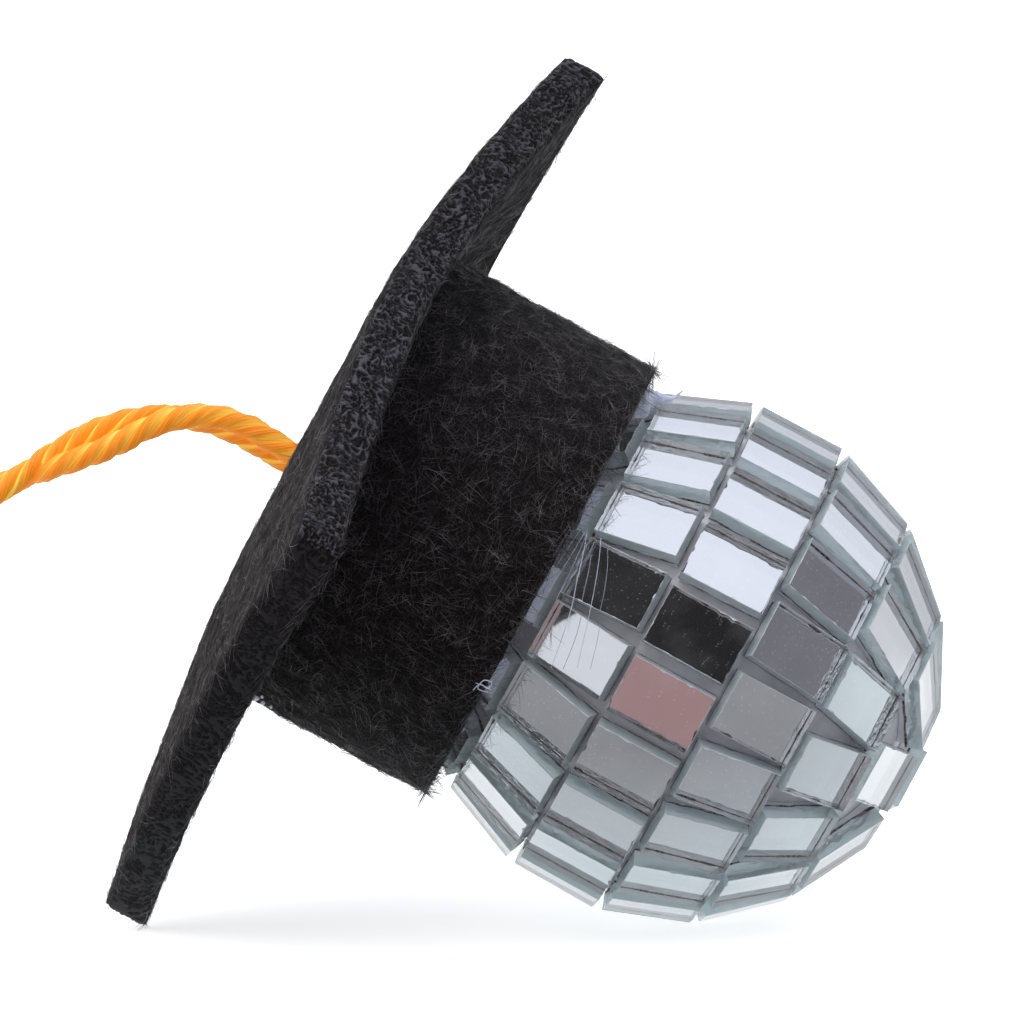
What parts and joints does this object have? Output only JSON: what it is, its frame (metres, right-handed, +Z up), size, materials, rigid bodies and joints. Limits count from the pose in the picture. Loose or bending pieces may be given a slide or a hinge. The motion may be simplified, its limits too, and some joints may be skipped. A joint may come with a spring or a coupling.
{
  "type": "mirror ball ornament",
  "caption": "Small mirror-tiled ball wearing a black felt graduation cap, with a golden twisted hanging cord doubled out of the middle of the cap's board.",
  "frame": {"origin": "centre of the bottom of the object's box, its free cord left out, as it lies on a table on the ball and the board's lowest corner", "axes": "+Z up; the cap's axis lies in the XZ plane and points to -X and up, 29.85 degrees over the table; +Y along the board's level diagonal"},
  "size_m": [0.1059, 0.0596, 0.0529],
  "materials": {
    "mirror_glass": "silvered glass with clear cut edges",
    "tile_adhesive": "dried white glue",
    "foam": "foamed polystyrene",
    "black_felt": "stiff craft felt with loose pale fibres",
    "hot_melt": "translucent hot melt glue",
    "gold_cord": "laid filament cord"
  },
  "bodies": {
    "ball_and_cap": {"near_pole_tiles": "mirror_glass", "cap_row_tiles": "mirror_glass", "upper_row_tiles": "mirror_glass", "equator_row_tiles": "mirror_glass", "lower_row_tiles": "mirror_glass", "far_row_tiles": "mirror_glass", "end_row_tiles": "mirror_glass", "pole_tile": "mirror_glass", "end_tile": "mirror_glass", "near_pole_adhesive": "tile_adhesive", "cap_row_adhesive": "tile_adhesive", "upper_row_adhesive": "tile_adhesive", "equator_row_adhesive": "tile_adhesive", "lower_row_adhesive": "tile_adhesive", "far_row_adhesive": "tile_adhesive", "end_row_adhesive": "tile_adhesive", "pole_tile_adhesive": "tile_adhesive", "end_tile_adhesive": "tile_adhesive", "foam_core": "foam", "hat_band": "black_felt", "hat_board": "black_felt", "rim_glue": "hot_melt", "board_glue": "hot_melt"},
    "cord": {"hanging_cord": "gold_cord", "cord_knot": "gold_cord"}
  },
  "joints": [
    {"name": "cord_swivel", "type": "hinge", "parent": "ball_and_cap", "child": "cord", "pos_m": [-0.01372, 0, 0.02869], "axis": [-0.8673, 0, 0.4977], "continuous": true}
  ]
}
